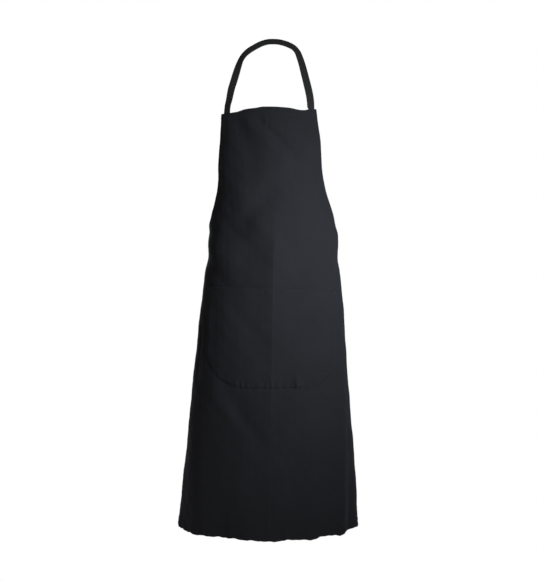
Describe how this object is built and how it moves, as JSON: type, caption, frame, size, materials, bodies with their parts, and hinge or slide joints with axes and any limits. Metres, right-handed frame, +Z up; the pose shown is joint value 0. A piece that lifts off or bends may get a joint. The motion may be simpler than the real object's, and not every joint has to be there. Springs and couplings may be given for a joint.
{
  "type": "bib apron",
  "caption": "Full-length cloth bib apron as worn, with a neck tape loop, one wide pocket and waist ties knotted in a bow at the back.",
  "frame": {"origin": "underside of the neck tape's top centre, where the apron hangs on the neck or a peg", "axes": "+Z up, -Y the apron's front, +X the viewer's right"},
  "size_m": [0.48, 0.2382, 1.317],
  "materials": {
    "twill": "fine cotton twill, matte",
    "tape": "woven flat tape, matte",
    "thread": "sewing thread, slight sheen",
    "label_cloth": "blank satin label"
  },
  "bodies": {
    "neck_loop": {"neck_strap": "tape"},
    "apron": {"front_panel": "twill", "top_hem": "twill", "bottom_hem": "twill", "armhole_hem_left": "twill", "armhole_hem_right": "twill", "side_hem_left": "twill", "side_hem_right": "twill", "pocket": "twill", "pocket_hem": "twill", "top_hem_stitching": "thread", "bottom_hem_stitching": "thread", "armhole_stitching_left": "thread", "armhole_stitching_right": "thread", "side_hem_stitching_left": "thread", "side_hem_stitching_right": "thread", "pocket_stitching": "thread", "pocket_mouth_stitching": "thread", "pocket_bartack_left": "thread", "pocket_bartack_right": "thread", "strap_bartack_left": "thread", "strap_bartack_right": "thread", "tie_bartack_left": "thread", "tie_bartack_right": "thread", "label": "label_cloth", "strap_end_left": "tape", "strap_end_right": "tape", "tie_end_left": "tape", "tie_end_right": "tape"},
    "waist_tie": {"tie_left": "tape", "tie_right": "tape", "bow_knot": "tape", "bow_loop_left": "tape", "bow_loop_right": "tape"},
    "tail_left_body": {"tail_left": "tape"},
    "tail_right_body": {"tail_right": "tape"}
  },
  "joints": [
    {"name": "apron_swing", "type": "hinge", "parent": "neck_loop", "child": "apron", "pos_m": [0, -0.06653, -0.182], "axis": [1, 0, 0], "range_deg": [-90, 60]},
    {"name": "waist_tie_swing", "type": "hinge", "parent": "apron", "child": "waist_tie", "pos_m": [0, 0.05746, -0.521], "axis": [1, 0, 0], "range_deg": [-60, 60]},
    {"name": "tail_left_swing", "type": "hinge", "parent": "waist_tie", "child": "tail_left_body", "pos_m": [-0.013, 0.0976, -0.534], "axis": [1, 0, 0], "range_deg": [-20, 60]},
    {"name": "tail_right_swing", "type": "hinge", "parent": "waist_tie", "child": "tail_right_body", "pos_m": [0.013, 0.0976, -0.534], "axis": [1, 0, 0], "range_deg": [-20, 60]}
  ]
}
